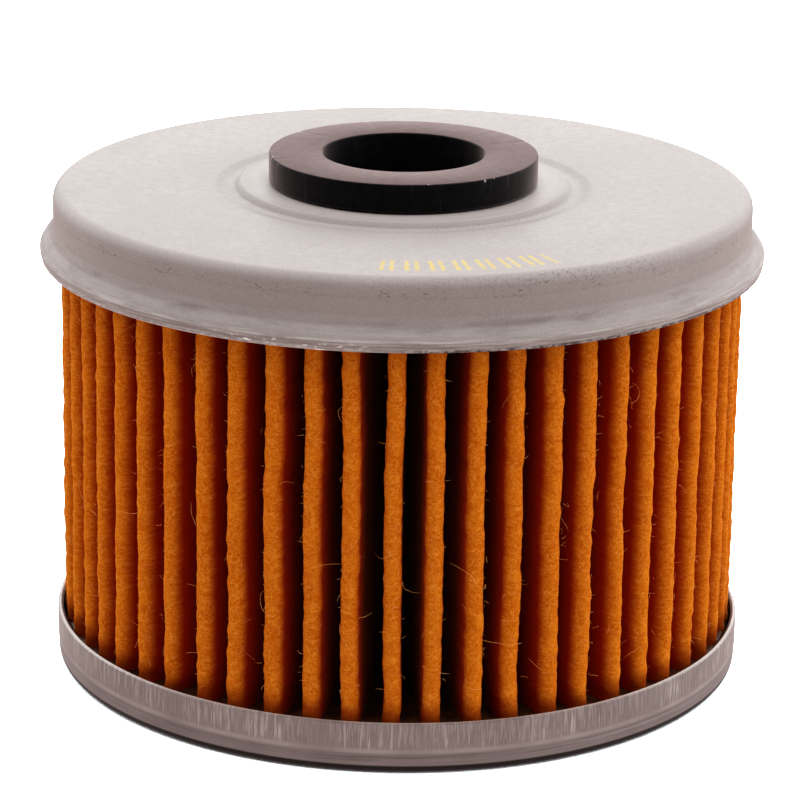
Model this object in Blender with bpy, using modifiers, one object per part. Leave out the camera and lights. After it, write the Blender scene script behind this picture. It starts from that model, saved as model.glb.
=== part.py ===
"""Cartridge oil filter for a small engine, with a bypass valve in its closed end.

The filter stands on its closed end: the origin is the centre of that face and +Z is the filter's
axis, towards the outlet seal. All lengths are in metres, and every radius is from the Z axis.

Oil enters through the pleats from outside, crosses the perforated centre tube and leaves upwards
through the rubber seal. If the pleats clog, oil under the closed end lifts the bypass poppet
against its spring and takes the short way into the centre tube.
"""

import math

import bmesh
import bpy
from mathutils import Matrix, Vector

MM = 0.001

# Driving dimensions
FLANGE_R = 28.5 * MM  # the widest point, the flared lip of the top end cap
TOP_WALL_R = 27.4 * MM
BOTTOM_WALL_R = 27.4 * MM
HEIGHT = 41.0 * MM  # closed end to the top of the seal
TOP_FACE_Z = 38.4 * MM
TOP_LIP_Z = 33.1 * MM
BOTTOM_RIM_Z = 4.1 * MM
SHEET = 0.4 * MM  # end caps and valve cage
GAP = 0.3 * MM  # left between pieces that touch

# Outlet seal: a grommet gripping the edge of the hole in the top end cap
SEAL_BORE_R = 6.35 * MM
SEAL_R = 10.55 * MM
SEAL_THICKNESS = 2.0 * MM
SEAL_LIP_R = 8.6 * MM
SEAL_LIP_THICKNESS = 1.4 * MM
SEAL_WAIST_R = 7.3 * MM

# The raised seat under the seal, and the groove pressed around it
BOSS_Z = HEIGHT - SEAL_THICKNESS - GAP
BOSS_R = 12.4 * MM
GROOVE_INNER_R = 13.8 * MM
GROOVE_OUTER_R = 14.3 * MM
GROOVE_END_R = 15.5 * MM
GROOVE_Z = TOP_FACE_Z - 0.4 * MM

# Closed end: a recess for the locating spring, with the bypass port in its middle
RECESS_R = 15.4 * MM
RECESS_SLOPE = 1.6 * MM
RECESS_Z = 1.6 * MM
PORT_R = 4.0 * MM
RECESS_INNER_Z = RECESS_Z + SHEET

# Centre tube
TUBE_R = 11.0 * MM
TUBE_WALL = 0.5 * MM
TUBE_HOLE_R = 1.5 * MM
TUBE_HOLE_ROWS = 5
TUBE_HOLES_A_ROW = 10

# Pleated media
PLEATS = 55
PAPER = 0.45 * MM
MEDIA_R = 26.7 * MM
MEDIA_BORE_R = TUBE_R + 0.4 * MM
MEDIA_BOTTOM_Z = 3.6 * MM
MEDIA_TOP_Z = 35.6 * MM
TIP_BEND_R = 0.47 * MM  # of the paper's middle line, at the outer folds

# Bypass valve
CAGE_R = 6.6 * MM
CAGE_TOP_Z = 12.4 * MM
CAGE_HOLE_R = 2.0 * MM
CAGE_WINDOWS = 4
POPPET_R = 5.6 * MM
POPPET_HUB_R = 3.1 * MM
POPPET_STUB_R = 1.7 * MM
FACING_THICKNESS = 0.8 * MM
FACING_Z = RECESS_INNER_Z + GAP
DISC_Z = FACING_Z + FACING_THICKNESS + GAP
DISC_TOP_Z = DISC_Z + 0.6 * MM
SPRING_R = 4.5 * MM
SPRING_WIRE_R = 0.35 * MM
SPRING_TURNS = 5

# The seam of the media, where the ends of the paper strip meet under a clip
SEAM_ANGLE = math.radians(90)
SEAM_END_R = 25.5 * MM
CLIP_R = 26.3 * MM
CLIP_SHEET = 0.3 * MM
CLIP_DEPTH = 3.8 * MM

CAP_STEPS = 4 * TUBE_HOLES_A_ROW  # so every hole in the tube lies square to the tube's facets
SMALL_STEPS = 24


def clear_scene():
    for thing in list(bpy.data.objects):
        bpy.data.objects.remove(thing)


def new_collection(name):
    collection = bpy.data.collections.new(name)
    bpy.context.scene.collection.children.link(collection)
    return collection


def make_material(name, colour, roughness, metallic=0.0):
    material = bpy.data.materials.new(name)
    material.use_nodes = True
    shader = material.node_tree.nodes["Principled BSDF"]
    shader.inputs["Base Color"].default_value = (*colour, 1.0)
    shader.inputs["Roughness"].default_value = roughness
    shader.inputs["Metallic"].default_value = metallic
    material.diffuse_color = (*colour, 1.0)
    return material


def arc(centre, radius, start, end, count):
    """Points (r, z) on an arc about centre, from start to end degrees, 0 pointing outwards."""
    points = []
    for i in range(count):
        angle = math.radians(start + (end - start) * i / (count - 1))
        points.append((centre[0] + radius * math.cos(angle), centre[1] + radius * math.sin(angle)))
    return points


def smooth(obj, sharp_degrees=35):
    obj.data.shade_smooth()
    obj.data.set_sharp_from_angle(angle=math.radians(sharp_degrees))


def add_object(name, mesh, collection, material=None):
    obj = bpy.data.objects.new(name, mesh)
    collection.objects.link(obj)
    if material:
        mesh.materials.append(material)
    return obj


def profile_object(name, points, closed, collection, material):
    """The points (r, z) joined by edges in the XZ plane, ready to be turned about Z."""
    edges = [(i, i + 1) for i in range(len(points) - 1)]
    if closed:
        edges.append((len(points) - 1, 0))
    mesh = bpy.data.meshes.new(name)
    mesh.from_pydata([(r, 0.0, z) for r, z in points], edges, [])
    return add_object(name, mesh, collection, material)


def add_screw(obj, steps):
    screw = obj.modifiers.new("Turn", "SCREW")
    screw.axis = "Z"
    screw.steps = steps
    screw.render_steps = steps
    screw.use_merge_vertices = True
    screw.merge_threshold = 0.01 * MM
    screw.use_smooth_shade = True


def add_solidify(obj, thickness, offset=-1.0):
    shell = obj.modifiers.new("Sheet", "SOLIDIFY")
    shell.thickness = thickness
    shell.offset = offset
    shell.use_even_offset = True


def add_cut(obj, cutter):
    cut = obj.modifiers.new("Cut", "BOOLEAN")
    cut.operation = "DIFFERENCE"
    cut.object = cutter


def turned(name, points, collection, material, steps, closed=True):
    """A solid of revolution. The profile runs down its outer side; open ends lie on the axis."""
    obj = profile_object(name, points, closed, collection, material)
    add_screw(obj, steps)
    return obj


def turned_sheet(name, points, collection, material, steps):
    """Sheet metal turned from the line of its outer face, which runs down its outer side."""
    obj = profile_object(name, points, False, collection, material)
    add_screw(obj, steps)
    add_solidify(obj, SHEET)
    return obj


def wall_from_path(name, path, bottom, top, thickness, collection, material):
    """A thin upright wall that follows path, a list of points (x, y), centred on it."""
    mesh = bpy.data.meshes.new(name)
    shape = bmesh.new()
    verts = [shape.verts.new((x, y, bottom)) for x, y in path]
    edges = [shape.edges.new(pair) for pair in zip(verts, verts[1:])]
    raised = bmesh.ops.extrude_edge_only(shape, edges=edges)["geom"]
    lifted = [v for v in raised if isinstance(v, bmesh.types.BMVert)]
    bmesh.ops.translate(shape, verts=lifted, vec=(0.0, 0.0, top - bottom))
    shape.to_mesh(mesh)
    shape.free()
    obj = add_object(name, mesh, collection, material)
    add_solidify(obj, thickness, offset=0.0)
    return obj


def make_cutter(name, collection, places, make_shape):
    """One mesh holding a closed shape at each of places, which are matrices."""
    mesh = bpy.data.meshes.new(name)
    shape = bmesh.new()
    for place in places:
        make_shape(shape, place)
    shape.to_mesh(mesh)
    shape.free()
    cutter = add_object(name, mesh, collection)
    cutter.hide_render = True
    cutter.display_type = "WIRE"
    return cutter


def make_top_end_cap(collection, material):
    corner_r = 1.1 * MM
    flare_r = 0.9 * MM
    lip_r = 0.5 * MM
    flare_z = 35.9 * MM
    points = [
        (SEAL_WAIST_R + GAP, BOSS_Z),
        (BOSS_R, BOSS_Z),
        (GROOVE_INNER_R, GROOVE_Z),
        (GROOVE_OUTER_R, GROOVE_Z),
        (GROOVE_END_R, TOP_FACE_Z),
    ]
    points += arc((TOP_WALL_R - corner_r, TOP_FACE_Z - corner_r), corner_r, 90, 0, 4)
    points += arc((TOP_WALL_R + flare_r, flare_z), flare_r, 180, 235, 3)
    points += arc((FLANGE_R - lip_r, 34.2 * MM), lip_r, 60, 0, 3)
    points.append((FLANGE_R, TOP_LIP_Z))
    return turned_sheet("top_end_cap", points, collection, material, CAP_STEPS)


def make_bottom_end_cap(collection, material):
    corner_r = 1.0 * MM
    points = [(BOTTOM_WALL_R, BOTTOM_RIM_Z)]
    points += arc((BOTTOM_WALL_R - corner_r, corner_r), corner_r, 0, -90, 4)
    points += [
        (RECESS_R + RECESS_SLOPE, 0.0),
        (RECESS_R, RECESS_Z),
        (PORT_R, RECESS_Z),
    ]
    return turned_sheet("bottom_end_cap", points, collection, material, CAP_STEPS)


def make_seal_grommet(collection, material):
    """Rubber grommet: a flat sealing flange above the cap's sheet and a holding lip below it."""
    flange_z = HEIGHT - SEAL_THICKNESS
    lip_top_z = BOSS_Z - SHEET - GAP
    edge = 0.15 * MM
    points = [
        (SEAL_BORE_R, HEIGHT - edge),
        (SEAL_BORE_R + edge, HEIGHT),
        (SEAL_R - edge, HEIGHT),
        (SEAL_R, HEIGHT - edge),
        (SEAL_R, flange_z),
        (SEAL_WAIST_R, flange_z),
        (SEAL_WAIST_R, lip_top_z),
        (SEAL_LIP_R, lip_top_z),
        (SEAL_LIP_R, lip_top_z - SEAL_LIP_THICKNESS),
        (SEAL_BORE_R, lip_top_z - SEAL_LIP_THICKNESS),
    ]
    return turned("seal_grommet", points, collection, material, CAP_STEPS)


def make_top_adhesive(collection, material):
    """The bead that glues the pleats' upper ends into the top end cap."""
    top_z = GROOVE_Z - SHEET - GAP
    bottom_z = MEDIA_TOP_Z + GAP
    outer_r = TOP_WALL_R - SHEET - GAP
    inner_r = TUBE_R + GAP
    points = [(inner_r, top_z), (outer_r, top_z), (outer_r, bottom_z), (inner_r, bottom_z)]
    return turned("top_adhesive", points, collection, material, CAP_STEPS)


def make_bottom_adhesive(collection, material):
    """The bead under the pleats, moulded over the recess of the closed end."""
    top_z = MEDIA_BOTTOM_Z - GAP
    floor_z = SHEET + GAP
    shelf_z = RECESS_INNER_Z + GAP
    outer_r = BOTTOM_WALL_R - SHEET - GAP
    corner = 0.8 * MM
    slope_r = RECESS_R + GAP
    points = [
        (MEDIA_BORE_R, top_z),
        (outer_r, top_z),
        (outer_r, floor_z + corner),
        (outer_r - corner, floor_z),
        (slope_r + shelf_z - floor_z, floor_z),
        (slope_r, shelf_z),
        (MEDIA_BORE_R, shelf_z),
    ]
    return turned("bottom_adhesive", points, collection, material, CAP_STEPS)


def radial(radius, angle, aside=0.0):
    """A point at radius along the direction angle, moved aside square to it."""
    return (
        radius * math.cos(angle) - aside * math.sin(angle),
        radius * math.sin(angle) + aside * math.cos(angle),
    )


def fold(radius, angle, bend_r, outwards, count=3):
    """The middle line of one fold, centred on the direction angle, in the order of growing angle."""
    points = []
    for i in range(count):
        turn = math.pi * i / (count - 1)
        reach = bend_r * math.sin(turn)
        aside = -bend_r * math.cos(turn)
        points.append(radial(radius + (reach if outwards else -reach), angle, aside))
    return points


def make_pleated_media(collection, material):
    """One folded strip of filter paper, whose two ends stand back to back under the seam clip."""
    pitch = 2 * math.pi / PLEATS
    root_bend_r = MEDIA_BORE_R * math.sin(pitch / 4)
    tip_r = MEDIA_R - PAPER / 2 - TIP_BEND_R
    root_r = MEDIA_BORE_R + PAPER / 2 + root_bend_r
    path = [radial(SEAM_END_R, SEAM_ANGLE, TIP_BEND_R)]
    for k in range(PLEATS):
        root_angle = SEAM_ANGLE + (k + 0.5) * pitch
        path += fold(root_r, root_angle, root_bend_r, outwards=False)
        if k < PLEATS - 1:
            path += fold(tip_r, root_angle + 0.5 * pitch, TIP_BEND_R, outwards=True)
    path.append(radial(SEAM_END_R, SEAM_ANGLE, -TIP_BEND_R))
    return wall_from_path(
        "pleated_media", path, MEDIA_BOTTOM_Z, MEDIA_TOP_Z, PAPER, collection, material
    )


def make_media_seam_clip(collection, material):
    """A steel channel crimped over the two ends of the paper strip."""
    half_width = TIP_BEND_R + PAPER / 2 + GAP + CLIP_SHEET / 2
    back_r = CLIP_R - CLIP_SHEET / 2
    path = [
        radial(CLIP_R - CLIP_DEPTH, SEAM_ANGLE, -half_width),
        radial(back_r, SEAM_ANGLE, -half_width),
        radial(back_r, SEAM_ANGLE, half_width),
        radial(CLIP_R - CLIP_DEPTH, SEAM_ANGLE, half_width),
    ]
    return wall_from_path(
        "media_seam_clip", path, MEDIA_BOTTOM_Z, MEDIA_TOP_Z, CLIP_SHEET, collection, material
    )


def make_centre_tube(collection, cutters, material):
    """Perforated steel tube that keeps the pleats from collapsing inwards."""
    bottom_z = RECESS_INNER_Z + GAP + SHEET + GAP
    top_z = BOSS_Z - SHEET - GAP
    inner_r = TUBE_R - TUBE_WALL
    points = [(inner_r, top_z), (TUBE_R, top_z), (TUBE_R, bottom_z), (inner_r, bottom_z)]
    tube = turned("centre_tube", points, collection, material, CAP_STEPS)

    first_row_z = 9.0 * MM
    last_row_z = 33.0 * MM
    places = []
    for row in range(TUBE_HOLE_ROWS):
        z = first_row_z + (last_row_z - first_row_z) * row / (TUBE_HOLE_ROWS - 1)
        for k in range(TUBE_HOLES_A_ROW):
            angle = 2 * math.pi * (k + 0.5 * (row % 2)) / TUBE_HOLES_A_ROW
            spot = Vector((*radial(TUBE_R - TUBE_WALL / 2, angle), z))
            lying = Matrix.Rotation(angle, 4, "Z") @ Matrix.Rotation(math.pi / 2, 4, "Y")
            places.append(Matrix.Translation(spot) @ lying)

    def punch(shape, place):
        bmesh.ops.create_cone(
            shape,
            cap_ends=True,
            segments=8,
            radius1=TUBE_HOLE_R,
            radius2=TUBE_HOLE_R,
            depth=4 * TUBE_WALL,
            matrix=place,
        )

    add_cut(tube, make_cutter("tube_hole_punch", cutters, places, punch))
    return tube


def make_bypass_valve_cage(collection, cutters, material):
    """Windowed cup over the bypass port. The centre tube stands on its flange."""
    corner_r = 0.6 * MM
    flange_z = RECESS_INNER_Z + GAP + SHEET
    points = [(CAGE_HOLE_R, CAGE_TOP_Z)]
    points += arc((CAGE_R - corner_r, CAGE_TOP_Z - corner_r), corner_r, 90, 0, 4)
    points += [(CAGE_R, flange_z), (TUBE_R, flange_z)]
    cage = turned_sheet("bypass_valve_cage", points, collection, material, SMALL_STEPS)

    window = Vector((3.0 * MM, 5.0 * MM, 5.6 * MM))
    window_z = 7.6 * MM
    places = []
    for k in range(CAGE_WINDOWS):
        angle = 2 * math.pi * (k + 0.5) / CAGE_WINDOWS
        spot = Vector((*radial(CAGE_R - SHEET / 2, angle), window_z))
        sized = Matrix.Diagonal((*window, 1.0))
        places.append(Matrix.Translation(spot) @ Matrix.Rotation(angle, 4, "Z") @ sized)

    def box(shape, place):
        bmesh.ops.create_cube(shape, size=1.0, matrix=place)

    add_cut(cage, make_cutter("cage_window_punch", cutters, places, box))
    return cage


def make_bypass_valve_poppet(collection, material):
    """Steel disc with a stub that holds its rubber facing and a hub that centres the spring."""
    hub_z = DISC_TOP_Z + 1.6 * MM
    chamfer = 0.4 * MM
    points = [
        (0.0, hub_z),
        (POPPET_HUB_R - chamfer, hub_z),
        (POPPET_HUB_R, hub_z - chamfer),
        (POPPET_HUB_R, DISC_TOP_Z),
        (POPPET_R, DISC_TOP_Z),
        (POPPET_R, DISC_Z),
        (POPPET_STUB_R, DISC_Z),
        (POPPET_STUB_R, FACING_Z),
        (0.0, FACING_Z),
    ]
    return turned(
        "bypass_valve_poppet", points, collection, material, SMALL_STEPS, closed=False
    )


def make_bypass_valve_facing(collection, material):
    top_z = FACING_Z + FACING_THICKNESS
    inner_r = POPPET_STUB_R + GAP
    points = [(inner_r, top_z), (POPPET_R, top_z), (POPPET_R, FACING_Z), (inner_r, FACING_Z)]
    return turned("bypass_valve_facing", points, collection, material, SMALL_STEPS)


def make_bypass_spring(collection, material):
    """Compression spring between the poppet and the top of its cage, with closed end coils."""
    bottom_z = DISC_TOP_Z + GAP + SPRING_WIRE_R
    top_z = CAGE_TOP_Z - SHEET - GAP - SPRING_WIRE_R
    points_a_turn = 12
    count = SPRING_TURNS * points_a_turn + 1
    end_rise = 2 * SPRING_WIRE_R + 0.1 * MM
    curve = bpy.data.curves.new("bypass_spring", "CURVE")
    curve.dimensions = "3D"
    curve.bevel_depth = SPRING_WIRE_R
    curve.bevel_resolution = 2
    curve.use_fill_caps = True
    spline = curve.splines.new("POLY")
    spline.points.add(count - 1)
    for i in range(count):
        turn = i / points_a_turn
        angle = 2 * math.pi * turn
        if turn < 1:
            z = bottom_z + end_rise * turn
        elif turn > SPRING_TURNS - 1:
            z = top_z - end_rise * (SPRING_TURNS - turn)
        else:
            share = (turn - 1) / (SPRING_TURNS - 2)
            z = bottom_z + end_rise + share * (top_z - bottom_z - 2 * end_rise)
        spline.points[i].co = (*radial(SPRING_R, angle), z, 1.0)
    curve.materials.append(material)
    spring = bpy.data.objects.new("bypass_spring", curve)
    collection.objects.link(spring)
    return spring


def main():
    clear_scene()
    parts = new_collection("oil_filter")
    cutters = new_collection("cutters")

    grey_paint = make_material("grey_paint", (0.66, 0.63, 0.61), 0.5)
    tinned_steel = make_material("tinned_steel", (0.47, 0.44, 0.43), 0.4, 0.8)
    rubber = make_material("nitrile_rubber", (0.02, 0.018, 0.018), 0.6)
    paper = make_material("filter_paper", (0.62, 0.21, 0.02), 0.9)
    adhesive = make_material("adhesive", (0.12, 0.05, 0.02), 0.6)
    plain_steel = make_material("plain_steel", (0.45, 0.44, 0.42), 0.35, 1.0)
    spring_steel = make_material("spring_steel", (0.3, 0.3, 0.3), 0.3, 1.0)

    turned_parts = [
        make_top_end_cap(parts, grey_paint),
        make_bottom_end_cap(parts, tinned_steel),
        make_seal_grommet(parts, rubber),
        make_top_adhesive(parts, adhesive),
        make_bottom_adhesive(parts, adhesive),
        make_centre_tube(parts, cutters, plain_steel),
        make_bypass_valve_cage(parts, cutters, plain_steel),
        make_bypass_valve_poppet(parts, plain_steel),
        make_bypass_valve_facing(parts, rubber),
    ]
    for part in turned_parts:
        smooth(part)
    make_pleated_media(parts, paper)
    make_media_seam_clip(parts, plain_steel)
    make_bypass_spring(parts, spring_steel)


main()
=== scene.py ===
"""The looks of the cartridge oil filter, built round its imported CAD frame.

Lengths are written in millimetres and turned into metres by MM where a mesh is made. A point on a
turned piece is (r, z): its distance from the filter's axis and its height.
"""

import math
import random

import bmesh
import bpy
from mathutils import Matrix, Vector, noise


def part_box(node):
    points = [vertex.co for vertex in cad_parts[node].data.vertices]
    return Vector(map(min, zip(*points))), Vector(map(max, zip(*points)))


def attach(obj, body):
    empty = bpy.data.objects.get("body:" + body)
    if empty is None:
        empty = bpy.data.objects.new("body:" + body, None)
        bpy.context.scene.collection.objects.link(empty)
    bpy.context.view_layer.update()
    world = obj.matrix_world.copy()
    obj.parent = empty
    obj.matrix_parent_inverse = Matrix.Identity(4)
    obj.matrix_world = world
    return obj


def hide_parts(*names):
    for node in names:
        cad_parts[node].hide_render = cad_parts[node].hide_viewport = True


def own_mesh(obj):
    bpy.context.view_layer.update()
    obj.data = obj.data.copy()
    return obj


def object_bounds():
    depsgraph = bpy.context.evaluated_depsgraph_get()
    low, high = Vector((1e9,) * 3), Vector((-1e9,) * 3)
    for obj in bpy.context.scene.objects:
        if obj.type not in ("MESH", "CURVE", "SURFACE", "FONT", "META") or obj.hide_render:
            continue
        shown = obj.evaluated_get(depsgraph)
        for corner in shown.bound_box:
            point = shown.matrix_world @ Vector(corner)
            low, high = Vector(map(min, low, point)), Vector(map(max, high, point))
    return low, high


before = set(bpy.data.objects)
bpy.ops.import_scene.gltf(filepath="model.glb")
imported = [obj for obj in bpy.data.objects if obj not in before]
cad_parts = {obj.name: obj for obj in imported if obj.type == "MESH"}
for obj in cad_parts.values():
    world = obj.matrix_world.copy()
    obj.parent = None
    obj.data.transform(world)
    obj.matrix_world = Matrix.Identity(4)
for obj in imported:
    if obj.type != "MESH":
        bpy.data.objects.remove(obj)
cad_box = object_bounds()

MM = 0.001
FIXED = "filter_element"
MOVING = "bypass_valve"

# The thickness of the end caps' and the valve cage's sheet
SHEET = 0.4
# A length that counts as none
TINY = 1e-6
# The radius at which the patterns of the outer pieces are laid flat
LAID_FLAT_AT = 27.0


def top_of(node):
    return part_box(node)[1].z / MM


def bottom_of(node):
    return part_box(node)[0].z / MM


def radius_of(node):
    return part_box(node)[1].x / MM


def polar(r, angle, z):
    """The point (x, y, z) at distance r from the axis."""
    return (r * math.cos(angle), r * math.sin(angle), z)


# Meshes


def filleted(corners, segments=6):
    """The line through corners, each (r, z, fillet radius), with an arc at every inner corner.

    An arc takes no more than longest_share of either side, and a turn under straight has none."""
    straight = 0.01
    longest_share = 0.49
    points = [corners[0][:2]]
    for before, here, after in zip(corners, corners[1:], corners[2:]):
        corner = Vector(here[:2])
        back = Vector(before[:2]) - corner
        on = Vector(after[:2]) - corner
        turn = math.pi - back.angle(on)
        if here[2] <= 0 or turn < straight:
            points.append(tuple(corner))
            continue
        longest = longest_share * min(back.length, on.length)
        reach = min(here[2] * math.tan(turn / 2), longest)
        radius = reach / math.tan(turn / 2)
        start = corner + back.normalized() * reach
        end = corner + on.normalized() * reach
        towards = (back.normalized() + on.normalized()).normalized()
        centre = corner + towards * math.hypot(radius, reach)
        sweep = (end - centre).angle_signed(start - centre)
        for i in range(segments + 1):
            spoke = start - centre
            spoke.rotate(Matrix.Rotation(sweep * i / segments, 2))
            points.append(tuple(centre + spoke))
    points.append(corners[-1][:2])
    return points


def offset_line(points, distance):
    """The line moved square to itself, to the right of its direction for a positive distance."""
    moved = []
    for i, point in enumerate(points):
        before = Vector(points[max(i - 1, 0)])
        after = Vector(points[min(i + 1, len(points) - 1)])
        along = (after - before).normalized()
        moved.append((point[0] + along.y * distance, point[1] - along.x * distance))
    return moved


def halfway(first, second):
    return ((first[0] + second[0]) / 2, (first[1] + second[1]) / 2)


def eased(middle, neighbour, corner, edge):
    """The middle of a cut edge, moved out by edge along the sheet, so that the edge is rounded."""
    away = (Vector(corner) - Vector(neighbour)).normalized() * edge
    return (middle[0] + away.x, middle[1] + away.y)


def sheet_outline(line):
    """A closed outline of a sheet whose outer face follows line, with its cut edges eased."""
    edge = 0.08
    inner = offset_line(line, SHEET)
    start = eased(halfway(line[0], inner[0]), line[1], line[0], edge)
    end = eased(halfway(line[-1], inner[-1]), line[-2], line[-1], edge)
    return [start] + line[1:] + [end] + inner[::-1]


def add_mesh(name, shape, material, sharp_degrees=40):
    """A new object made from the bmesh shape, which is in millimetres."""
    bmesh.ops.recalc_face_normals(shape, faces=shape.faces)
    bmesh.ops.scale(shape, vec=(MM, MM, MM), verts=shape.verts)
    mesh = bpy.data.meshes.new(name)
    shape.to_mesh(mesh)
    shape.free()
    mesh.materials.append(material)
    mesh.shade_smooth()
    mesh.set_sharp_from_angle(angle=math.radians(sharp_degrees))
    piece = bpy.data.objects.new(name, mesh)
    bpy.context.scene.collection.objects.link(piece)
    return piece


def place(piece, node, body=FIXED):
    """Attaches a piece to the body it rides, and hides the CAD node it stands for, if any."""
    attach(piece, body)
    if node:
        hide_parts(node)


def turned(name, outline, material, steps, shift=None):
    """A closed outline turned about Z. Points with r = 0 become one vertex on the axis.

    shift(angle, r, z) moves a point: it returns the new (r, z)."""
    shape = bmesh.new()
    columns = []
    for r, z in outline:
        if r < TINY:
            columns.append([shape.verts.new((0.0, 0.0, z))] * steps)
            continue
        ring = []
        for k in range(steps):
            angle = 2 * math.pi * k / steps
            r2, z2 = shift(angle, r, z) if shift else (r, z)
            ring.append(shape.verts.new(polar(r2, angle, z2)))
        columns.append(ring)
    for here, after in zip(columns, columns[1:] + columns[:1]):
        if here[0] == here[1] and after[0] == after[1]:
            continue
        for k in range(steps):
            corners = [here[k], here[(k + 1) % steps], after[(k + 1) % steps], after[k]]
            shape.faces.new(list(dict.fromkeys(corners)))
    return add_mesh(name, shape, material)


def skin(shape, here, after):
    """Faces between two rings that have the same number of vertices."""
    for i in range(len(here)):
        n = (i + 1) % len(here)
        shape.faces.new((here[i], here[n], after[n], after[i]))


def tube_along(shape, points, radii, sides):
    """A closed round tube through points, with a radius at each."""
    rings = []
    side = Vector((0.0, 0.0, 1.0))
    for i, point in enumerate(points):
        along = (points[min(i + 1, len(points) - 1)] - points[max(i - 1, 0)]).normalized()
        side = side - along * side.dot(along)
        if side.length < TINY:
            side = along.orthogonal()
        side.normalize()
        other = along.cross(side)
        ring = []
        for k in range(sides):
            angle = 2 * math.pi * k / sides
            spoke = side * math.cos(angle) + other * math.sin(angle)
            ring.append(shape.verts.new(point + spoke * radii[i]))
        rings.append(ring)
    for here, after in zip(rings, rings[1:]):
        skin(shape, here, after)
    shape.faces.new(rings[0][::-1])
    shape.faces.new(rings[-1])


# Materials


# Places among a Mix node's sockets when it mixes colours
COLOUR_A = 6
COLOUR_B = 7
MIXED_COLOUR = 2


class Shader:
    """A material's nodes, added a line at a time. Points are in millimetres."""

    def __init__(self, name):
        self.material = bpy.data.materials.new(name)
        self.material.use_nodes = True
        self.tree = self.material.node_tree
        self.surface = self.tree.nodes["Principled BSDF"]
        place_node = self.tree.nodes.new("ShaderNodeTexCoord")
        scaled = self.tree.nodes.new("ShaderNodeVectorMath")
        scaled.operation = "SCALE"
        scaled.inputs["Scale"].default_value = 1 / MM
        self.tree.links.new(place_node.outputs["Object"], scaled.inputs[0])
        self.point = scaled.outputs[0]
        self.normal = place_node.outputs["Normal"]
        split = self.tree.nodes.new("ShaderNodeSeparateXYZ")
        self.tree.links.new(self.point, split.inputs[0])
        self.x, self.y, self.z = split.outputs
        self.angle = self.math("ARCTAN2", self.y, self.x)
        squares = self.math("ADD", self.math("POWER", self.x, 2.0), self.math("POWER", self.y, 2.0))
        self.radius = self.math("SQRT", squares)

    def feed(self, socket, source):
        if isinstance(source, bpy.types.NodeSocket):
            self.tree.links.new(source, socket)
        else:
            socket.default_value = source

    def math(self, operation, first, second=0.0):
        node = self.tree.nodes.new("ShaderNodeMath")
        node.operation = operation
        self.feed(node.inputs[0], first)
        self.feed(node.inputs[1], second)
        return node.outputs[0]

    def vector(self, x, y, z):
        node = self.tree.nodes.new("ShaderNodeCombineXYZ")
        for socket, source in zip(node.inputs, (x, y, z)):
            self.feed(socket, source)
        return node.outputs[0]

    def facing_up(self):
        """The height of the surface's own normal: 1 on a level face."""
        split = self.tree.nodes.new("ShaderNodeSeparateXYZ")
        self.tree.links.new(self.normal, split.inputs[0])
        return split.outputs["Z"]

    def unrolled(self, around, along, radius=LAID_FLAT_AT):
        """A point on the cylinder's surface laid flat, stretched by the two factors."""
        arc_length = self.math("MULTIPLY", self.angle, radius * around)
        return self.vector(arc_length, self.math("MULTIPLY", self.z, along), 0.0)

    def noise(self, point, scale, detail=2.0, roughness=0.5, distortion=0.0):
        node = self.tree.nodes.new("ShaderNodeTexNoise")
        self.feed(node.inputs["Vector"], point)
        node.inputs["Scale"].default_value = scale
        node.inputs["Detail"].default_value = detail
        node.inputs["Roughness"].default_value = roughness
        node.inputs["Distortion"].default_value = distortion
        return node.outputs["Fac"]

    def ridge(self, point, scale, width):
        """Thin winding lines, like strands laid in a felt: 1 on a line and 0 away from it."""
        winding = self.noise(point, scale, 1.0, 0.5, 0.6)
        away = self.math("ABSOLUTE", self.math("SUBTRACT", winding, 0.5))
        return self.step(away, width, 0.0)

    def cells(self, point, scale):
        """The distance to the nearest of many scattered points."""
        node = self.tree.nodes.new("ShaderNodeTexVoronoi")
        self.feed(node.inputs["Vector"], point)
        node.inputs["Scale"].default_value = scale
        return node.outputs["Distance"]

    def step(self, source, low, high, to_low=0.0, to_high=1.0):
        """to_low at low, to_high at high, smooth between them and held outside. low may be the
        larger of the two."""
        node = self.tree.nodes.new("ShaderNodeMapRange")
        node.interpolation_type = "SMOOTHSTEP"
        self.feed(node.inputs["Value"], source)
        node.inputs["From Min"].default_value = min(low, high)
        node.inputs["From Max"].default_value = max(low, high)
        rising = low < high
        node.inputs["To Min"].default_value = to_low if rising else to_high
        node.inputs["To Max"].default_value = to_high if rising else to_low
        return node.outputs["Result"]

    def product(self, *sources):
        total = sources[0]
        for source in sources[1:]:
            total = self.math("MULTIPLY", total, source)
        return total

    def largest(self, *sources):
        most = sources[0]
        for source in sources[1:]:
            most = self.math("MAXIMUM", most, source)
        return most

    def band(self, source, low, high, soft):
        """1 between low and high, and 0 outside, with soft edges."""
        rise = self.step(source, low - soft, low + soft)
        fall = self.step(source, high + soft, high - soft)
        return self.product(rise, fall)

    def mix(self, share, first, second):
        """The first colour, taken to the second by share."""
        node = self.tree.nodes.new("ShaderNodeMix")
        node.data_type = "RGBA"
        self.feed(node.inputs["Factor"], share)
        self.feed(node.inputs[COLOUR_A], first)
        self.feed(node.inputs[COLOUR_B], second)
        return node.outputs[MIXED_COLOUR]

    def bump(self, height, depth, strength=1.0, over=None):
        """A normal from height, whose full range is depth millimetres, over another if given."""
        node = self.tree.nodes.new("ShaderNodeBump")
        node.inputs["Strength"].default_value = strength
        node.inputs["Distance"].default_value = depth * MM
        self.feed(node.inputs["Height"], height)
        if over:
            self.feed(node.inputs["Normal"], over)
        return node.outputs["Normal"]

    def set(self, **sources):
        """Feeds the shader's sockets, named with _ for a space."""
        for name, source in sources.items():
            self.feed(self.surface.inputs[name.replace("_", " ")], source)
        return self.material


def rgb(red, green, blue):
    return (red, green, blue, 1.0)


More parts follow.
